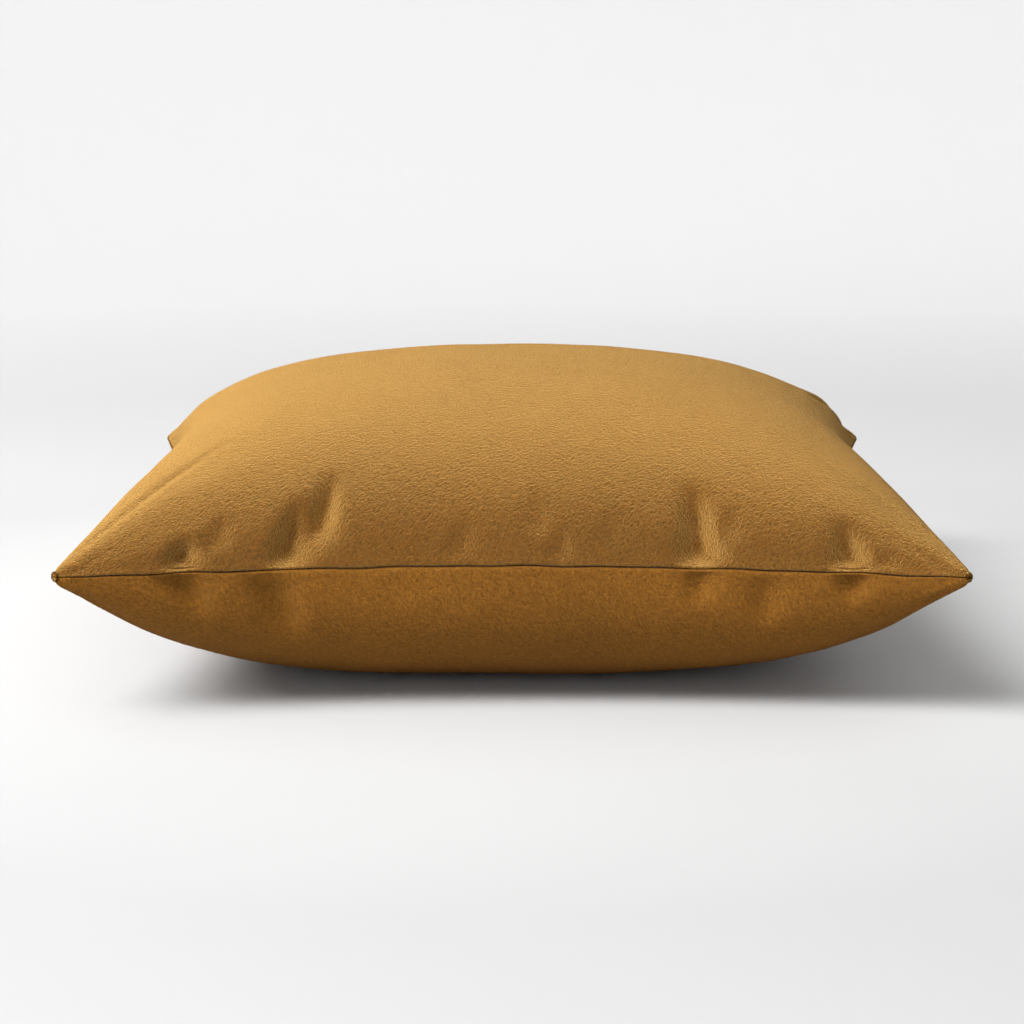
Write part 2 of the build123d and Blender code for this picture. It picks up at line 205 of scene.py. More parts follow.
def upsample(field, rows, columns):
    """Reads a square grid of values, spread evenly from -1 to 1, at other rows and columns, by cubics."""
    def along_first(values, places):
        n = len(values)
        at = np.clip((places + 1) / 2 * (n - 1), 0, n - 1 - 1e-9)
        i = at.astype(int)
        t = (at - i).reshape((-1,) + (1,) * (values.ndim - 1))
        p0, p1 = values[np.maximum(i - 1, 0)], values[i]
        p2, p3 = values[np.minimum(i + 1, n - 1)], values[np.minimum(i + 2, n - 1)]
        bend = 2 * p0 - 5 * p1 + 4 * p2 - p3 + t * (3 * (p1 - p2) + p3 - p0)
        return p1 + 0.5 * t * (p2 - p0 + t * bend)
    return np.swapaxes(along_first(np.swapaxes(along_first(field, rows), 0, 1), columns), 0, 1)


def blur(field, times):
    """Smooths a grid of values again and again, with its border held still."""
    for _ in range(times):
        mean = (field[:-2, 1:-1] + field[2:, 1:-1] + field[1:-1, :-2] + field[1:-1, 2:]) / 4
        field = field.copy()
        field[1:-1, 1:-1] = (field[1:-1, 1:-1] + mean) / 2
    return field


def lumps(seed, cells, rows, columns):
    """Smooth random values from about -1 to 1 over the cloth, cells of them across it."""
    values = np.random.default_rng(seed).uniform(-1, 1, (cells + 1, cells + 1))
    return upsample(values, rows, columns)


def place_piece(piece, body, material, slot, *nodes):
    """Gives a piece its material, lets it ride on a body and stand for CAD nodes; the slot is not used."""
    piece.data.materials.append(material)
    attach(piece, body)
    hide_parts(*nodes)
    return piece


# ---------------------------------------------------------------- the pillow's shape
def edge_inset(along):
    """How far an edge lies inside the line between its corners, at a distance from the edge's middle."""
    return np.sqrt(EDGE_RADIUS**2 - along**2) - (EDGE_RADIUS - PULL_IN)


def cloth_to_plan(side, cloth):
    """Turns a share of the way over the cloth, from its middle to an edge, into the share in plan."""
    plan = np.sin(np.linspace(0, math.pi / 2, 2000))
    height = DOME_HEIGHT[side] * (1 - plan ** DOME_POWER[side]) ** DOME_EDGE
    steps = np.hypot(np.diff(plan * (HALF_SIDE - PULL_IN)), np.diff(height))
    length = np.concatenate([[0], np.cumsum(steps)])
    return np.sign(cloth) * np.interp(np.abs(cloth), length / length[-1], plan)


def dome(side, across, along, inset=0.0, thinner=0.0):
    """Points of one half of the pillow at shares of the cloth's width and length from -1 to 1."""
    u, v = cloth_to_plan(side, across), cloth_to_plan(side, along)
    x = u * (HALF_SIDE - edge_inset(v * HALF_SIDE) - inset)
    y = v * (HALF_SIDE - edge_inset(u * HALF_SIDE) - inset)
    fall = (1 - np.abs(u) ** DOME_POWER[side]) * (1 - np.abs(v) ** DOME_POWER[side])
    height = (DOME_HEIGHT[side] - thinner) * np.clip(fall, 0, None) ** DOME_EDGE
    far, start = np.hypot(x, y), TIP_RADIUS - inset - TIP_ROUND
    height *= 1 - TIP_THIN * smooth_step((far - TIP_THIN_FROM) / (TIP_RADIUS - TIP_THIN_FROM))
    over = np.clip(far - start, 0, None)
    bent = start + TIP_ROUND * (1 - np.exp(-over / TIP_ROUND))
    blunt = np.where(over > 0, bent / np.maximum(far, start), 1)
    return np.stack([x * blunt, y * blunt, SEAM_Z + side * height], -1)


def normals(points, side):
    """Outward unit normals of a grid of points."""
    return unit(np.cross(np.gradient(points, axis=0), np.gradient(points, axis=1)) * side)


def cloth_lines(step, near):
    """Shares of the cloth from -1 to 1 at which a surface has points, close together beside the seam."""
    near = np.array(near) * MM
    count = int((FLAT_HALF - near[-1]) / step)
    rest = np.linspace(near[-1], FLAT_HALF, count + 1)[1:]
    half = 1 - np.concatenate([near, rest]) / FLAT_HALF
    return np.concatenate([-half, half[-2::-1]])


def cloth_grid(lines):
    """Each grid point's place across and along the cloth, from -1 to 1, and its distance from the seam."""
    across, along = np.meshgrid(lines, lines, indexing="ij")
    return across, along, FLAT_HALF * np.minimum(1 - np.abs(across), 1 - np.abs(along))


# Dents in the cover above and below the front seam, in millimetres: where along the edge the deepest line
# meets the seam, how far that line leans to +X on its way, first and last distance over the cloth from the
# seam, width and depth. Those with a first distance of 0 run into the seam.
FRONT_DENTS = {
    TOP: [
        (-156, 1, 0, 23, 10, 8.0),
        (-141, 4, 10, 34, 9, 3.0),
        (-107, 6, 0, 40, 11, 10.4),
        (-93, 7, 9, 55, 9, 9.0),
        (-25, 3, 3, 27, 8, 2.2),
        (13, -3, 14, 40, 8, 2.4),
        (22, 2, 2, 21, 6, 2.2),
        (46, 2, 8, 30, 9, 1.1),
        (89, -3, 0, 47, 12, 10.6),
        (103, 1, 13, 35, 7, 2.4),
        (159, -2, 0, 35, 11, 9.4),
        (177, -1, 5, 19, 7, 2.0),
    ],
    BOTTOM: [
        (-160, 13, 0, 30, 12, 6.4),
        (-118, 14, 2, 42, 13, 7.0),
        (-58, 4, 4, 26, 12, 1.0),
        (88, 1, 0, 20, 9, 4.6),
        (119, 3, 3, 34, 12, 4.2),
        (159, 3, 0, 22, 10, 5.6),
    ],
}
# Creases that run in from a corner: which corner, angle from its diagonal in degrees, first and last
# distance from it over the cloth, half width and depth, in millimetres
CORNER_CREASES = {
    TOP: [
        (1, 1, -8, 34, 120, 4.5, 1.2),
        (1, 1, 4, 30, 160, 3.8, 1.8),
        (1, 1, 11, 28, 150, 4.6, 4.2),
        (1, 1, 20, 26, 140, 4.6, 4.6),
        (1, 1, 28, 26, 115, 4.4, 3.6),
        (1, 1, 30, 30, 95, 3.8, 1.2),
        (-1, 1, -8, 36, 104, 6, 0.8),
        (-1, 1, 12, 36, 110, 5, 1.0),
    ],
    BOTTOM: [
        (1, 1, -7, 34, 120, 6, 1.4),
        (1, 1, 8, 40, 110, 6, 1.2),
        (-1, 1, -8, 36, 120, 6, 1.3),
        (-1, 1, 7, 36, 100, 6, 1.1),
        (-1, -1, -8, 30, 90, 6, 0.6),
        (1, -1, 8, 30, 90, 6, 0.6),
    ],
}


def front_dents(side, x, from_seam):
    """How deep the dents at the front seam are: each leans, narrows and fades on its way from the seam."""
    depth = np.zeros_like(x)
    for place, lean, first, last, width, deep in FRONT_DENTS[side]:
        reach = (from_seam / MM - first) / (last - first)
        narrowed = width * (1 - DENT_NARROWING * np.clip(reach, 0, 1))
        t = (x / MM - place - lean * np.clip(reach, 0, 1)) / narrowed
        profile = np.interp(t, DENT_PLACES, DENT_DEPTHS)
        if first == 0:
            start = smooth_step((from_seam / MM + 6) / 15)
        else:
            start = smooth_step((reach + 0.1) / 0.4)
        depth += deep * MM * profile * start * (1 - smooth_step((reach - 0.45) / 0.6))
    return depth


def corner_creases(side, across, along):
    """How deep the creases that run in from the corners are."""
    depth = np.zeros_like(across)
    for sign_x, sign_y, angle, first, last, width, deep in CORNER_CREASES[side]:
        from_x = (1 - sign_x * across) * FLAT_HALF / MM
        from_y = (1 - sign_y * along) * FLAT_HALF / MM
        direction = math.radians(45 + angle)
        away = from_x * math.cos(direction) + from_y * math.sin(direction)
        beside = from_y * math.cos(direction) - from_x * math.sin(direction)
        reach = (away - first) / (last - first)
        profile = bell(beside / width) - 0.4 * bell((np.abs(beside) / width - 1.6) / 0.7)
        depth += deep * MM * profile * smooth_step(reach / 0.35) * (1 - smooth_step((reach - 0.4) / 0.6))
    return depth


def at_zip(x, along):
    """1 beside the zipper and 0 elsewhere."""
    return smooth_step((ZIP_HALF + 3 * MM - np.abs(x)) / (6 * MM)) * (along > 0.5)


def layer(side, folds, lines, inset=0.0, thinner=0.0, lowest=0.0):
    """A surface of the pillow, as a grid of points, with its folds and valleys, flattened on the floor."""
    across, along, edge = cloth_grid(lines)
    points = dome(side, across, along, inset, thinner)
    calm = 1 - at_zip(points[..., 0], along) * (1 - smooth_step((edge - ALLOWANCE) / ZIP_CALM))
    near_corner = np.minimum(np.abs(across), np.abs(along))
    calm = calm * (1 - smooth_step((near_corner - FOLDS_FADE) / FOLDS_GONE))
    points = points + calm[..., None] * upsample(folds[side], lines, lines)
    depth = front_dents(side, points[..., 0], FLAT_HALF * (1 + along)) + corner_creases(side, across, along)
    soft = LUMPS * lumps(11 + side, 9, lines, lines) + SMALL_LUMPS * lumps(21 + side, 26, lines, lines)
    still = at_zip(points[..., 0], along) * (1 - smooth_step((edge - ALLOWANCE / 2) / ZIP_STILL))
    moves = soft * calm * np.clip(edge / (20 * MM), 0, 1)
    moves = moves - depth * (1 - still) * smooth_step(edge / (2.5 * MM))
    points = points + normals(points, side) * moves[..., None]
    if side == BOTTOM:
        over = points[..., 2] - lowest
        points[..., 2] = lowest + (over + np.sqrt(over**2 + FLOOR_SOFT**2)) / 2
    return points


def seam_wave(points):
    """How far the seam wanders up and down at some points."""
    x, y = points[..., 0], points[..., 1]
    waves = np.sin(x / (5.1 * MM)) + np.sin(x / (8.3 * MM) + 1) + np.sin(x / (31 * MM) + 2)
    return SEAM_WAVE / 2 * (waves + np.sin(y / (6.2 * MM)) + np.sin(y / (9.7 * MM) + 2))


def cover_surface(side, folds, lines):
    """The outside of one velvet panel: a layer with a groove and a lip beside the seam."""
    across, along, edge = cloth_grid(lines)
    points = layer(side, folds, lines)
    zipped = at_zip(points[..., 0], along)
    level = unit(normals(points, side) * np.array([1, 1, 0]))
    near_tip = smooth_step((np.minimum(np.abs(across), np.abs(along)) - TIP_FADE) / TIP_GONE)
    lip = LIP[side] * bell((edge - LIP_AT) / LIP_WIDTH) * (1 - near_tip)
    groove = GROOVE * bell(edge / GROOVE_WIDTH) * (1 - 0.8 * near_tip)
    points = points + level * ((lip - groove) * (1 - zipped))[..., None]
    points[..., 2] += seam_wave(points) * bell(edge / (6 * MM)) * (1 - zipped)
    points[..., 2] += side * SLIT * zipped * np.clip(1 - edge / (3 * MM), 0, 1)
    if side == BOTTOM:
        points[..., 2] -= points[..., 2].min()
    return points


def read_surface(lines, grid, across, along):
    """Reads a grid of values that stand at given lines at any shares of the cloth."""
    def cell(places):
        i = np.clip(np.searchsorted(lines, places) - 1, 0, len(lines) - 2)
        return i, ((places - lines[i]) / (lines[i + 1] - lines[i]))[..., None]
    (i, s), (j, t) = cell(across), cell(along)
    low = grid[i, j] * (1 - s) + grid[i + 1, j] * s
    high = grid[i, j + 1] * (1 - s) + grid[i + 1, j + 1] * s
    return low * (1 - t) + high * t


# ---------------------------------------------------------------- cloth simulation
SIM_POINTS = 97
SIM_FRAMES = 28
PRESSURE = 5.0


def sewn_mesh(upper, lower):
    """Two square grids joined at their border into one closed mesh: points, faces, and both grids' ids."""
    n = len(upper)
    inside = np.zeros((n, n), bool)
    inside[1:-1, 1:-1] = True
    top_ids = np.arange(n * n).reshape(n, n)
    bottom_ids = top_ids.copy()
    bottom_ids[inside] = n * n + np.arange(inside.sum())
    quads = []
    for ids, order in ((top_ids, (0, 1, 2, 3)), (bottom_ids, (3, 2, 1, 0))):
        corners = [ids[:-1, :-1], ids[1:, :-1], ids[1:, 1:], ids[:-1, 1:]]
        quads.append(np.stack([corners[k].ravel() for k in order], 1))
    points = np.concatenate([upper.reshape(-1, 3), lower[inside]])
    return points, np.concatenate(quads), top_ids, bottom_ids


def simulate():
    """Inflates two sewn flat-cut panels, and returns the small folds that this makes, as grids of moves."""
    share = np.linspace(-1, 1, SIM_POINTS)
    across, along = np.meshgrid(share, share, indexing="ij")
    upper = dome(TOP, across, along, thinner=BAG_SLACK)
    lower = dome(BOTTOM, across, along, thinner=BAG_SLACK)
    start, quads, top_ids, bottom_ids = sewn_mesh(upper, lower)
    flat = np.stack([across * FLAT_HALF, along * FLAT_HALF, np.full_like(across, SEAM_Z)], -1)
    cut = sewn_mesh(flat, flat)[0]
    bag = new_object("bag", start, quads)
    bag.shape_key_add(name="sewn")
    bag.shape_key_add(name="cut").data.foreach_set("co", cut.ravel())
    border = np.concatenate([top_ids[0], top_ids[-1], top_ids[:, 0], top_ids[:, -1]])
    bag.vertex_groups.new(name="seam").add(np.unique(border).tolist(), 1.0, "REPLACE")
    cloth = bag.modifiers.new("cloth", "CLOTH")
    settings = cloth.settings
    settings.rest_shape_key = bag.data.shape_keys.key_blocks["cut"]
    settings.vertex_group_mass = "seam"
    settings.use_pressure = True
    settings.uniform_pressure_force = PRESSURE
    settings.quality = 8
    settings.mass = 0.15
    settings.tension_stiffness = settings.compression_stiffness = 40
    settings.shear_stiffness = 10
    settings.bending_stiffness = 0.5
    settings.air_damping = 2
    settings.effector_weights.gravity = 0
    cloth.collision_settings.use_collision = False
    cloth.point_cache.frame_end = SIM_FRAMES
    scene = bpy.context.scene
    scene.frame_start, scene.frame_end = 1, SIM_FRAMES
    for number in range(1, SIM_FRAMES + 1):
        scene.frame_set(number)
    done = bag.evaluated_get(bpy.context.evaluated_depsgraph_get())
    moved = np.empty(len(bag.data.vertices) * 3)
    done.data.vertices.foreach_get("co", moved)
    moved = moved.reshape(-1, 3)
    scene.frame_set(1)
    bpy.data.objects.remove(bag)
    folds = {}
    for side, ids in ((TOP, top_ids), (BOTTOM, bottom_ids)):
        change = moved[ids] - start[ids]
        folds[side] = change - blur(change, BLUR_TIMES)
    return folds


# ---------------------------------------------------------------- cloth pieces
def shell(name, outside, side, thickness):
    """A closed thin shell from a grid of outside points."""
    inside = outside - normals(outside, side) * np.asarray(thickness)[..., None]
    rows, columns = outside.shape[:2]
    ids = np.arange(rows * columns).reshape(rows, columns)
    quad = [ids[:-1, :-1], ids[1:, :-1], ids[1:, 1:], ids[:-1, 1:]]
    outer = np.stack([corner.ravel() for corner in quad], 1)
    inner = outer[:, ::-1] + rows * columns
    ring = np.concatenate([ids[:-1, 0], ids[-1, :-1], ids[:0:-1, -1], ids[0, :0:-1]])
    following = np.roll(ring, -1)
    rim = np.stack([ring, ring + rows * columns, following + rows * columns, following], 1)
    faces = np.concatenate([outer, inner, rim])
    if side == BOTTOM:
        faces = faces[:, ::-1]
    return new_object(name, np.concatenate([outside.reshape(-1, 3), inside.reshape(-1, 3)]), faces)


def make_cover(skins, lines):
    """The two velvet panels, twice as thick beside the seam, where the allowance is turned back."""
    _, _, edge = cloth_grid(lines)
    thickness = VELVET * (1 + smooth_step((ALLOWANCE - edge) / (2 * MM)))
    for side, word in SIDES.items():
        panel = shell(f"velvet_{word}", skins[side], side, thickness)
        place_piece(panel, "pillow", velvet(word, side), "velvet", f"cover_{word}_panel")


def make_insert(folds):
    """The insert's two casing panels and the fibre inside them."""
    lines = cloth_lines(CASING_STEP, CASING_NEAR_SEAM)
    material = casing_cloth()
    for side, word in SIDES.items():
        outside = layer(side, folds, lines, INSERT_INSET, INSERT_THINNER, lowest=CASING_LOWEST)
        outside[..., 2] += side * CASING_APART
        panel = shell(f"casing_{word}", outside, side, np.full(outside.shape[:2], CASING))
        place_piece(panel, "pillow", material, "casing", f"insert_casing_{word}")
    lines = cloth_lines(FIBRE_STEP, FIBRE_NEAR_SEAM)
    tufts = {}
    for side in SIDES:
        surface = layer(side, folds, lines, FILL_INSET, FILL_THINNER, lowest=FIBRE_LOWEST)
        clump = CLUMPS * (1 + lumps(31 + side, 34, lines, lines))
        clump = clump + TUFTS * (1 + lumps(41 + side, 80, lines, lines))
        _, _, edge = cloth_grid(lines)
        clump = clump * np.clip(edge / (15 * MM), 0, 1)
        tufts[side] = surface - normals(surface, side) * clump[..., None]
    points, quads, _, _ = sewn_mesh(tufts[TOP], tufts[BOTTOM])
    fibre = new_object("fibre", points, quads)
    place_piece(fibre, "pillow", fluff(), "fill", "fibre_fill")


def make_tapes(skins, lines):
    """The zipper's two woven tapes, behind the turned-back allowances."""
    x = np.linspace(-ZIP_HALF, ZIP_HALF, 281)
    across = np.interp(x, skins[TOP][:, -1, 0], lines)
    from_seam = np.linspace(TAPE_FROM, TAPE_TO, 9)
    a, b = np.meshgrid(across, 1 - from_seam / FLAT_HALF, indexing="ij")
    b = b[:, ::-1]
    for side, word in SIDES.items():
        out = read_surface(lines, normals(skins[side], side), a, b)
        points = read_surface(lines, skins[side], a, b) - unit(out) * TAPE_DEPTH
        tape = shell(f"tape_{word}", points, side, np.full(points.shape[:2], TAPE))
        place_piece(tape, "pillow", woven_tape(), "zipper_tape", f"zipper_tape_{word}")


def make_labels():
    """A blank label caught in each seam and folded down between the cover and the insert."""
    for sign, (start, fold), name, node, holder in (
        (-1, COVER_LABEL, "cover_label", "care_label", "velvet_bottom"),
        (1, INSERT_LABEL, "insert_tag", "insert_label", "casing_bottom"),
    ):
        way = math.copysign(1, fold - start)
        bent = way * LABEL_BEND
        turn = np.radians(np.linspace(0, 90, 9))
        inset = np.concatenate([np.linspace(start, fold - bent, 5)[:-1], fold - bent * (1 - np.sin(turn))])
        drop = np.concatenate([np.zeros(4), LABEL_BEND * (1 - np.cos(turn))])
        down = np.linspace(LABEL_BEND, LABEL_DROP, 24)[1:]
        inset = np.concatenate([inset, fold + 0.25 * MM * np.sin(down / (5 * MM))])
        drop = np.concatenate([drop, down])
        y = np.linspace(-LABEL_HALF, LABEL_HALF, 25)
        rows = np.stack(np.meshgrid(np.arange(len(inset)), y, indexing="ij"), -1)
        k = rows[..., 0].astype(int)
        curl = 0.12 * MM * np.sin(rows[..., 1] / (4 * MM)) * drop[k] / LABEL_DROP
        x = sign * (HALF_SIDE - PULL_IN - inset[k] + curl)
        points = np.stack([x, rows[..., 1], SEAM_Z - drop[k]], -1)
        facing = TOP if sign * way < 0 else BOTTOM
        label = shell(name, points, facing, np.full(k.shape, LABEL_THICK))
        place_piece(label, "pillow", label_satin(), "label", node)


# ---------------------------------------------------------------- threads and coils
def tubes(name, paths, reference, radii, sides):
    """Round tubes along several paths of equal length, as one mesh; reference is never along a path."""
    count, stations = paths.shape[:2]
    tangent = unit(np.gradient(paths, axis=1))
    first = unit(np.cross(tangent, reference))
    second = np.cross(tangent, first)
    turn = (2 * np.pi * np.arange(sides) / sides)[:, None]
    ring = np.cos(turn) * first[:, :, None] + np.sin(turn) * second[:, :, None]
    points = paths[:, :, None] + ring * np.asarray(radii)[:, None, None]
    ids = np.arange(count * stations * sides).reshape(count, stations, sides)
    following = np.roll(ids, -1, axis=2)
    quads = np.stack([ids[:, :-1], following[:, :-1], following[:, 1:], ids[:, 1:]], -1).reshape(-1, 4)
    caps = [tuple(row[::-1]) for row in ids[:, 0].tolist()] + [tuple(row) for row in ids[:, -1].tolist()]
    return new_object(name, points.reshape(-1, 3), quads.tolist() + caps)


def edge_corner(inset):
    """Where two neighbouring edges' arcs meet, inside the edges by inset; it is as far in X as in Y."""
    centre = ARC_CENTRE - inset
    return (centre - math.sqrt(2 * EDGE_RADIUS**2 - centre**2)) / 2


def seam_line(inset, opening, step):
    """Points a step apart in the seam's plane, inside the edge by inset, all round but for +Y's opening."""
    tip = edge_corner(inset)
    def edge(start, end):
        along = np.linspace(start, end, 400)
        return along, HALF_SIDE - edge_inset(along) - inset
    x, y = edge(opening, tip)
    pieces = [(x, y)]
    x, y = edge(tip, -tip)
    pieces += [(y, x), (x, -y), (-y, -x)]
    x, y = edge(-tip, -opening)
    pieces.append((x, y))
    line = np.concatenate([np.stack(piece, -1) for piece in pieces])
    far, start = np.hypot(*line.T), TIP_RADIUS - inset - TIP_ROUND
    over = np.clip(far - start, 0, None)
    line *= np.where(over > 0, (start + TIP_ROUND * (1 - np.exp(-over / TIP_ROUND))) / far, 1)[:, None]
    return spread(np.concatenate([line, np.full((len(line), 1), SEAM_Z)], 1), step)


def lengths(line):
    """How far each point of a line is from its start, along it."""
    return np.concatenate([[0], np.cumsum(np.linalg.norm(np.diff(line, axis=0), axis=1))])


def spread(line, step):
    """The same line with its points a step apart."""
    length = lengths(line)
    places = np.linspace(0, length[-1], max(int(length[-1] / step), 2) + 1)
    return np.stack([np.interp(places, length, line[:, k]) for k in range(3)], -1)


def spread_both(line, values):
    """A line with its points 1 mm apart, and the directions that belong to them."""
    length = lengths(line)
    places = np.linspace(0, length[-1], int(length[-1] / MM))
    both = [np.stack([np.interp(places, length, v[:, k]) for k in range(3)], -1) for v in (line, values)]
    return both[0], both[1]


def zip_line(inset, height, half_length, step):
    """Points along the zipper, inside the +Y edge by inset and over the seam's plane by height."""
    turn = np.linspace(-1, 1, int(2 * half_length / step) + 1) * math.asin(half_length / EDGE_RADIUS)
    radius = EDGE_RADIUS + inset
    level = np.full_like(turn, SEAM_Z + height)
    return np.stack([radius * np.sin(turn), ARC_CENTRE - radius * np.cos(turn), level], -1)


def stitch_paths(line, length, gap, sag, lean=0.0):
    """Splits a level line into stitches whose middles stand out and whose ends dip in, one path each."""
    step = np.linalg.norm(line[1] - line[0])
    per, pause = int(round(length / step)), int(round(gap / step))
    count = (len(line) - 1) // (per + pause)
    share = np.linspace(0, 1, 7)
    tangent = unit(np.gradient(line, axis=0))
    out = np.cross(tangent, (0, 0, 1))
    starts = np.arange(count) * (per + pause)
    places = starts[:, None] + share * per
    i = places.astype(int)
    t = (places - i)[..., None]
    j = np.minimum(i + 1, len(line) - 1)
    path = line[i] * (1 - t) + line[j] * t
    path = path + out[i] * (sag * np.sin(np.pi * share))[:, None]
    path[..., 2] += lean * (2 * share - 1)
    return path


def helix(line, up, radius, pitch, points_per_turn):
    """A helix round a line; up is a direction across the line at each of its points."""
    length = np.linalg.norm(np.diff(line, axis=0), axis=1).sum()
    turns = int(length / pitch)
    count = turns * points_per_turn + 1
    at = np.linspace(0, len(line) - 1, count)
    i = np.minimum(at.astype(int), len(line) - 2)
    t = (at - i)[:, None]
    middle = line[i] * (1 - t) + line[i + 1] * t
    tangent = unit(line[i + 1] - line[i])
    first = unit(up[i] * (1 - t) + up[i + 1] * t)
    second = np.cross(tangent, first)
    angle = (2 * np.pi * np.arange(count) / points_per_turn)[:, None]
    path = middle + radius * (np.cos(angle) * first + np.sin(angle) * second)
    return path[None], tangent[None]


def make_threads(skins, lines):
    """The cover's seam stitches, the overlocked edges, the tapes' stitches and the insert's two seams."""
    # the cover's thread is dark brown partly for its dye and partly as painted shade: the seam stitches lie
    # in the groove to stand for the dark crease along the seam
    dye_and_seam_shade, white = thread("thread_dye_and_seam_shade", (0.110, 0.042, 0.008)), thread("white_thread", (0.82, 0.81, 0.78))
    line = seam_line(1.2 * MM, ZIP_HALF + 1 * MM, STITCH_STEP)
    line[:, 2] += seam_wave(line) * (1 - at_zip(line[:, 0], line[:, 1] / FLAT_HALF))
    paths = stitch_paths(line, 2.75 * MM, 0.5 * MM, 0.2 * MM)
    stitches = tubes("seam_stitches", paths, (0, 0, 1), STITCH_ENDS * SEAM_THREAD, 6)
    place_piece(stitches, "pillow", dye_and_seam_shade, "cover_thread", "cover_seam_thread")
    for side, word in SIDES.items():
        share = 1 - (ALLOWANCE + 0.75 * MM) / FLAT_HALF
        run = np.linspace(-share, share, 500)
        edge = np.full_like(run, share)
        a = np.concatenate([run, edge, -run, -edge])
        b = np.concatenate([edge, -run, -edge, run])
        out = unit(read_surface(lines, normals(skins[side], side), a, b))
        middle = read_surface(lines, skins[side], a, b) - out * OVERLOCK_DEPTH
        middle, out = spread_both(middle, out)
        path, tangent = helix(middle, out, OVERLOCK_RADIUS, OVERLOCK_PITCH, 8)
        bead = tubes(f"overlock_{word}", path, tangent, np.full(path.shape[1], OVERLOCK_THREAD), 4)
        place_piece(bead, "pillow", dye_and_seam_shade, "cover_thread", f"overlock_thread_{word}")
        line = zip_line(TAPE_STITCH_DEPTH, side * TAPE_STITCH_Z, ZIP_HALF - 1 * MM, STITCH_STEP)
        paths = stitch_paths(line, 2.25 * MM, 0.5 * MM, -0.1 * MM)
        row = tubes(f"tape_stitches_{word}", paths, (0, 0, 1), STITCH_ENDS * FINE_THREAD, 6)
        place_piece(row, "pillow", dye_and_seam_shade, "cover_thread", f"tape_thread_{word}")
    line = seam_line(INSERT_INSET + 0.5 * MM, CLOSED_HALF + 1 * MM, STITCH_STEP)
    paths = stitch_paths(line, 2.25 * MM, 0.5 * MM, 0.2 * MM)
    sewn = tubes("insert_stitches", paths, (0, 0, 1), STITCH_ENDS * FINE_THREAD, 6)
    place_piece(sewn, "pillow", white, "casing_thread", "insert_seam_thread")
    line = zip_line(INSERT_INSET - 0.1 * MM, 0, CLOSED_HALF, STITCH_STEP)
    paths = stitch_paths(line, 2.5 * MM, 1.0 * MM, -0.35 * MM, lean=1.2 * MM)
    closed = tubes("closing_stitches", paths, (0, 1, 0), STITCH_ENDS * CLOSING_THREAD, 6)
    place_piece(closed, "pillow", white, "casing_thread", "insert_closing_thread")


def make_coils():
    """The two rows of the zipper's nylon coil."""
    for side, word in SIDES.items():
        line = zip_line(COIL_DEPTH, side * COIL_Z, COIL_HALF, 1 * MM)
        up = np.tile((0.0, 0.0, 1.0), (len(line), 1))
        path, tangent = helix(line, up, COIL_OUTER - COIL_WIRE, COIL_PITCH, 12)
        coil = tubes(f"coil_{word}", path, tangent, np.full(path.shape[1], COIL_WIRE), 6)
        place_piece(coil, "pillow", nylon(), "zipper_coil", f"zipper_coil_{word}")


# ---------------------------------------------------------------- materials
# The pile's colours in the nap's pits and on its ridges, and its sheen's weight, roughness and tint. The
# two panels are one velvet given different colours and sheen as painted light: the bottom panel's pile is
# paler and its sheen weaker, to stand in for how light falls on the underside and on the top
VELVET_COLOURS_AND_PAINTED_LIGHT = {
    TOP: ((0.047, 0.0132, 0.0008), (0.133, 0.0402, 0.0024)),
    BOTTOM: ((0.107, 0.0395, 0.0040), (0.240, 0.0965, 0.0122)),
}
VELVET_SHEEN = {TOP: 0.80, BOTTOM: 0.18}
VELVET_SHEEN_ROUGHNESS = {TOP: 0.50, BOTTOM: 0.62}
VELVET_TINTS = {TOP: (1.0, 0.600, 0.172), BOTTOM: (1.0, 0.48, 0.13)}


def new_material(name, roughness, specular=0.5):
    """A material, its node tree and its Principled shader."""
    material = bpy.data.materials.new(name)
    material.use_nodes = True
    shader = material.node_tree.nodes["Principled BSDF"]
    shader.inputs["Roughness"].default_value = roughness
    shader.inputs["Specular IOR Level"].default_value = specular
    return material, material.node_tree, shader


def node(tree, kind, **values):
    """A shader node with some of its properties and input sockets set."""
    made = tree.nodes.new(kind)
    for key, value in values.items():
        if hasattr(made, key):
            setattr(made, key, value)
        else:
            made.inputs[key.replace("_", " ")].default_value = value
    return made


def turned(tree, turn=(0, 0, 0), stretch=(1, 1, 1)):
    """Object coordinates turned by angles in degrees, then drawn out along the turned axes."""
    place = node(tree, "ShaderNodeTexCoord")
    mapping = node(tree, "ShaderNodeMapping", vector_type="TEXTURE")
    mapping.inputs["Rotation"].default_value = [math.radians(angle) for angle in turn]
    mapping.inputs["Scale"].default_value = stretch
    tree.links.new(place.outputs["Object"], mapping.inputs["Vector"])
    return mapping.outputs["Vector"]


def noise(tree, vector, scale, detail=2.0, rough=0.5, distortion=0.0):
    """A noise texture's value."""
    made = node(tree, "ShaderNodeTexNoise", Scale=scale, Detail=detail, Roughness=rough)
    made.inputs["Distortion"].default_value = distortion
    tree.links.new(vector, made.inputs["Vector"])
    return made.outputs["Fac"]


def weave(tree, vector, scale, direction, profile="SIN"):
    """Parallel ribs along an axis."""
    made = node(tree, "ShaderNodeTexWave", bands_direction=direction, wave_profile=profile, Scale=scale)
    made.inputs["Distortion"].default_value = 0.3
    tree.links.new(vector, made.inputs["Vector"])
    return made.outputs["Fac"]


def ranged(tree, value, low, high, to_low=0.0, to_high=1.0):
    """A value taken from one range to another, and clamped."""
    made = node(tree, "ShaderNodeMapRange", From_Min=low, From_Max=high, To_Min=to_low, To_Max=to_high)
    tree.links.new(value, made.inputs["Value"])
    return made.outputs["Result"]


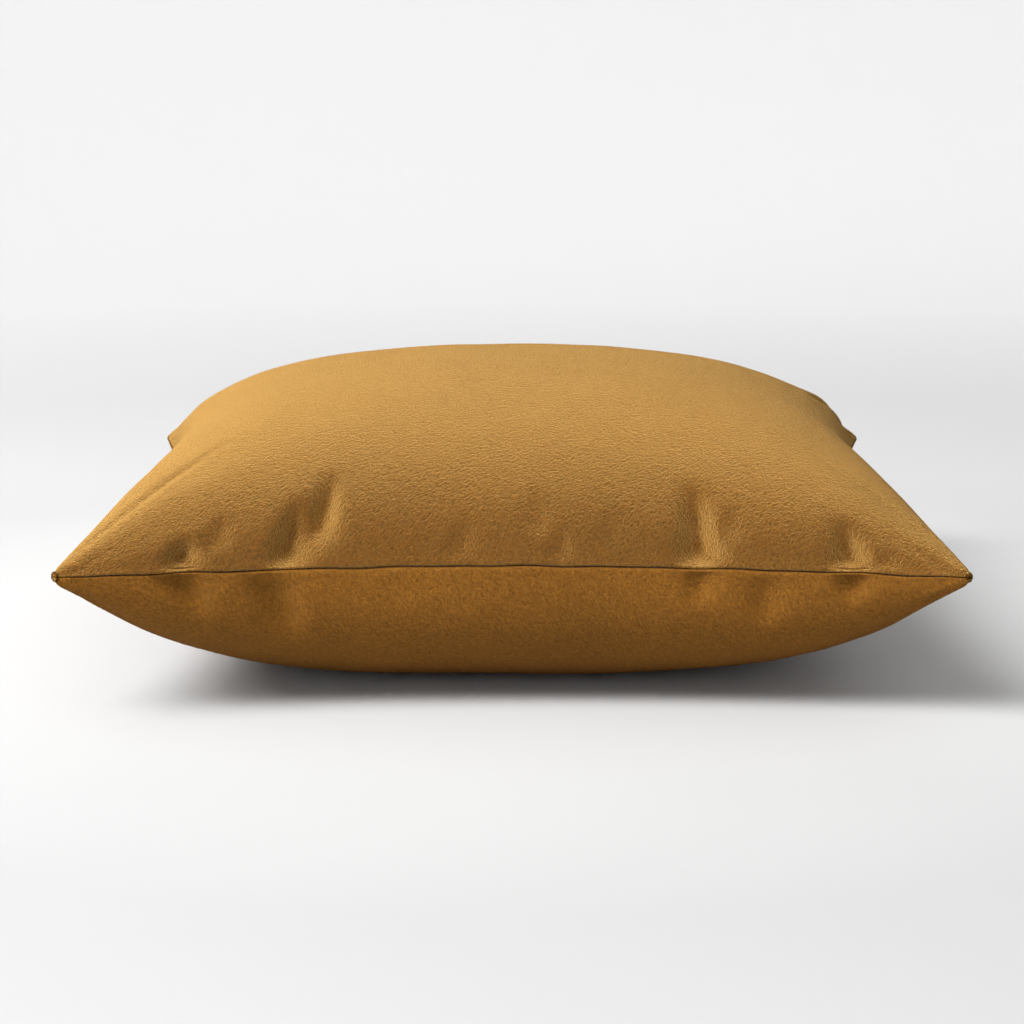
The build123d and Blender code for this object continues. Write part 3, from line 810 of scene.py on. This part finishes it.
def blend(tree, factor, first, second, blend_type="MIX"):
    """A mix of two colours by a factor; each of the three is a socket or a constant."""
    made = node(tree, "ShaderNodeMix", data_type="RGBA", blend_type=blend_type)
    for number, item in ((0, factor), (6, first), (7, second)):
        if isinstance(item, bpy.types.NodeSocket):
            tree.links.new(item, made.inputs[number])
        elif number == 0:
            made.inputs[number].default_value = item
        else:
            made.inputs[number].default_value = (*item, 1)
    return made.outputs[2]


def combined(tree, operation, first, second):
    """Two values put through a math operation; the second may be a constant."""
    made = node(tree, "ShaderNodeMath", operation=operation)
    tree.links.new(first, made.inputs[0])
    if isinstance(second, bpy.types.NodeSocket):
        tree.links.new(second, made.inputs[1])
    else:
        made.inputs[1].default_value = second
    return made.outputs[0]


def raise_by(tree, shader, height, distance, strength=1.0):
    """Bumps a shader's surface by a height from 0 to 1 of a distance."""
    bump = node(tree, "ShaderNodeBump", Strength=strength, Distance=distance)
    tree.links.new(height, bump.inputs["Height"])
    tree.links.new(bump.outputs["Normal"], shader.inputs["Normal"])


def stage_paper(radius):
    """Matt paper, grey where the key light falls, and paler towards the back and the wall, to look even."""
    material, tree, shader = new_material("stage_paper", 0.9, 0.1)
    place = node(tree, "ShaderNodeTexCoord")
    far = node(tree, "ShaderNodeVectorMath", operation="LENGTH")
    tree.links.new(place.outputs["Object"], far.inputs[0])
    tone = node(tree, "ShaderNodeValToRGB")
    stops = ((0.10, 0.42), (0.16, 0.37), (0.33, 0.38), (0.6, 0.478), (0.85, 0.46))
    for _ in stops[2:]:
        tone.color_ramp.elements.new(0.5)
    for element, (position, grey) in zip(tone.color_ramp.elements, stops):
        element.position = position
        element.color = (grey, grey, grey, 1)
    tree.links.new(ranged(tree, far.outputs["Value"], 0, radius), tone.inputs["Fac"])
    depth = node(tree, "ShaderNodeSeparateXYZ")
    tree.links.new(place.outputs["Object"], depth.inputs[0])
    level = ranged(tree, depth.outputs["Y"], -0.5, 0.5, 0.92, 1.17)
    paper = blend(tree, 1.0, tone.outputs["Color"], level, "MULTIPLY")
    tree.links.new(paper, shader.inputs["Base Color"])
    return material


def velvet(word, side):
    """Short dense pile: warm ochre with a sheen, stronger on top, and a nap brushed in fine ridges, darker
    in its pits as painted shade; each panel's colour and sheen are set as painted light.
    """
    material, tree, shader = new_material(f"velvet_{word}", 0.95, 0.05)
    brushed = turned(tree, (0, -40 * side, 31), (1.7, 1, 1))
    nap = noise(tree, brushed, 880, detail=3, rough=0.6, distortion=0.8)
    fine = noise(tree, turned(tree), 1800, detail=2)
    patches = noise(tree, turned(tree, (0, 0, 40), (2.2, 1, 1)), 11, detail=3, rough=0.55)
    height = combined(tree, "ADD", nap, combined(tree, "MULTIPLY", fine, 0.5))
    pit_painted_shade, light = VELVET_COLOURS_AND_PAINTED_LIGHT[side]
    # the pile is darker where the nap's bump is low, as painted shade in its pits, and lighter on its
    # ridges
    pile = blend(tree, ranged(tree, nap, 0.32, 0.68), pit_painted_shade, light)
    shade = blend(tree, ranged(tree, patches, 0.35, 0.65), (0.90, 0.90, 0.90), (1.1, 1.1, 1.1))
    tree.links.new(blend(tree, 1.0, pile, shade, "MULTIPLY"), shader.inputs["Base Color"])
    tree.links.new(ranged(tree, fine, 0.3, 0.7, 0.85, 1.0), shader.inputs["Roughness"])
    raise_by(tree, shader, height, NAP_BUMP)
    shader.inputs["Sheen Weight"].default_value = VELVET_SHEEN[side]
    shader.inputs["Sheen Roughness"].default_value = VELVET_SHEEN_ROUGHNESS[side]
    shader.inputs["Sheen Tint"].default_value = (*VELVET_TINTS[side], 1)
    return material


def thread(name, colour):
    """Twisted polyester thread with a slight gloss."""
    material, tree, shader = new_material(name, 0.6, 0.25)
    ply = weave(tree, turned(tree, (0, 30, 35)), 1500, "X")
    tone = blend(tree, ply, [0.55 * c for c in colour], colour)
    tree.links.new(tone, shader.inputs["Base Color"])
    tree.links.new(ranged(tree, ply, 0, 1, 0.75, 0.5), shader.inputs["Roughness"])
    raise_by(tree, shader, ply, 0.08 * MM)
    return material


def woven_tape():
    """Narrow tape with a fine twill rib, dyed to match the velvet."""
    material, tree, shader = new_material("woven_tape", 0.8, 0.2)
    rib = weave(tree, turned(tree, (0, 45, 0)), 700, "X")
    weft = weave(tree, turned(tree), 1100, "Z")
    cloth = combined(tree, "MULTIPLY", rib, weft)
    worn = noise(tree, turned(tree), 60, detail=3)
    base = blend(tree, cloth, (0.10, 0.042, 0.009), (0.20, 0.09, 0.022))
    tone = blend(tree, ranged(tree, worn, 0.4, 0.8, 0, 0.25), base, (0.28, 0.15, 0.05))
    tree.links.new(tone, shader.inputs["Base Color"])
    tree.links.new(ranged(tree, cloth, 0, 1, 0.95, 0.7), shader.inputs["Roughness"])
    raise_by(tree, shader, cloth, 0.12 * MM)
    return material


def nylon():
    """Semi-gloss dyed nylon monofilament."""
    material, tree, shader = new_material("coil_nylon", 0.35, 0.5)
    cloud = noise(tree, turned(tree), 900, detail=2)
    tone = blend(tree, cloud, (0.12, 0.052, 0.012), (0.21, 0.10, 0.03))
    tree.links.new(tone, shader.inputs["Base Color"])
    tree.links.new(ranged(tree, cloud, 0.3, 0.7, 0.28, 0.45), shader.inputs["Roughness"])
    raise_by(tree, shader, cloud, 0.03 * MM)
    shader.inputs["Subsurface Weight"].default_value = 0.1
    shader.inputs["Subsurface Scale"].default_value = 0.3 * MM
    return material


def enamel():
    """Enamelled zinc: dyed coat with orange peel, rubbed through to grey metal in small flecks."""
    material, tree, shader = new_material("zipper_enamel", 0.5, 0.25)
    peel = noise(tree, turned(tree), 700, detail=2)
    scuffs = noise(tree, turned(tree, (0, 0, 30), (5, 1, 1)), 900, detail=4, rough=0.7)
    rubbed = ranged(tree, scuffs, 0.66, 0.72)
    coat = blend(tree, peel, (0.092, 0.038, 0.007), (0.145, 0.063, 0.013))
    tree.links.new(blend(tree, rubbed, coat, (0.52, 0.50, 0.47)), shader.inputs["Base Color"])
    tree.links.new(rubbed, shader.inputs["Metallic"])
    tree.links.new(ranged(tree, scuffs, 0.3, 0.8, 0.42, 0.62), shader.inputs["Roughness"])
    raise_by(tree, shader, combined(tree, "ADD", peel, scuffs), 0.03 * MM)
    shader.inputs["Coat Weight"].default_value = 0.1
    shader.inputs["Coat Roughness"].default_value = 0.35
    return material


def casing_cloth():
    """Off-white spunbonded cloth with an embossed grid of dots and faint clouding."""
    material, tree, shader = new_material("casing_cloth", 0.9, 0.2)
    dots = node(tree, "ShaderNodeTexVoronoi", Scale=620.0, Randomness=0.15, feature="F1")
    tree.links.new(turned(tree, (0, 0, 45)), dots.inputs["Vector"])
    pressed = ranged(tree, dots.outputs["Distance"], 0.18, 0.42)
    fibres = noise(tree, turned(tree, (0, 0, 20), (3, 1, 1)), 700, detail=4, rough=0.7)
    cloud = noise(tree, turned(tree), 28, detail=3)
    base = blend(tree, ranged(tree, cloud, 0.35, 0.65), (0.70, 0.69, 0.65), (0.80, 0.79, 0.755))
    tone = blend(tree, pressed, (0.90, 0.90, 0.90), (1.0, 1.0, 1.0))
    tree.links.new(blend(tree, 1.0, base, tone, "MULTIPLY"), shader.inputs["Base Color"])
    height = combined(tree, "ADD", pressed, combined(tree, "MULTIPLY", fibres, 0.6))
    tree.links.new(ranged(tree, fibres, 0.3, 0.7, 0.8, 0.95), shader.inputs["Roughness"])
    raise_by(tree, shader, height, 0.12 * MM)
    shader.inputs["Sheen Weight"].default_value = 0.2
    return material


def fluff():
    """White hollow fibre in soft clumps with fine crossing strands."""
    material, tree, shader = new_material("fluff", 1.0, 0.1)
    strands = noise(tree, turned(tree, (20, 10, 30), (6, 1, 1)), 500, detail=5, rough=0.75, distortion=1.5)
    across = turned(tree, (-30, 60, -50), (6, 1, 1))
    crossing = noise(tree, across, 420, detail=5, rough=0.75, distortion=1.5)
    clumps = noise(tree, turned(tree), 70, detail=3)
    hairs = combined(tree, "MAXIMUM", strands, crossing)
    base = blend(tree, ranged(tree, hairs, 0.4, 0.75), (0.66, 0.66, 0.655), (0.88, 0.88, 0.875))
    tone = blend(tree, clumps, (0.86, 0.86, 0.86), (1.0, 1.0, 1.0))
    tree.links.new(blend(tree, 1.0, base, tone, "MULTIPLY"), shader.inputs["Base Color"])
    raise_by(tree, shader, combined(tree, "ADD", hairs, clumps), 1.2 * MM)
    shader.inputs["Sheen Weight"].default_value = 0.5
    return material


def label_satin():
    """Blank off-white satin tape with fine warp lines."""
    material, tree, shader = new_material("label_satin", 0.5, 0.4)
    warp = weave(tree, turned(tree), 1400, "Y")
    weft = weave(tree, turned(tree), 900, "Z")
    warp_share, weft_share = combined(tree, "MULTIPLY", warp, 0.7), combined(tree, "MULTIPLY", weft, 0.3)
    cloth = combined(tree, "ADD", warp_share, weft_share)
    tree.links.new(blend(tree, cloth, (0.70, 0.69, 0.65), (0.84, 0.83, 0.79)), shader.inputs["Base Color"])
    tree.links.new(ranged(tree, cloth, 0, 1, 0.6, 0.42), shader.inputs["Roughness"])
    raise_by(tree, shader, cloth, 0.06 * MM)
    return material


# ---------------------------------------------------------------- the scene
make_camera()
make_stage()
make_lights()
folds = simulate()
cover_lines = cloth_lines(GRID_STEP, NEAR_SEAM)
skins = {side: cover_surface(side, folds, cover_lines) for side in SIDES}
make_insert(folds)
make_cover(skins, cover_lines)
make_tapes(skins, cover_lines)
make_labels()
make_threads(skins, cover_lines)
make_coils()
metal = enamel()
for name in ("zipper_top_stops", "zipper_bottom_stop", "zipper_slider", "pull_tab"):
    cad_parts[name].data.materials.clear()
    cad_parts[name].data.materials.append(metal)
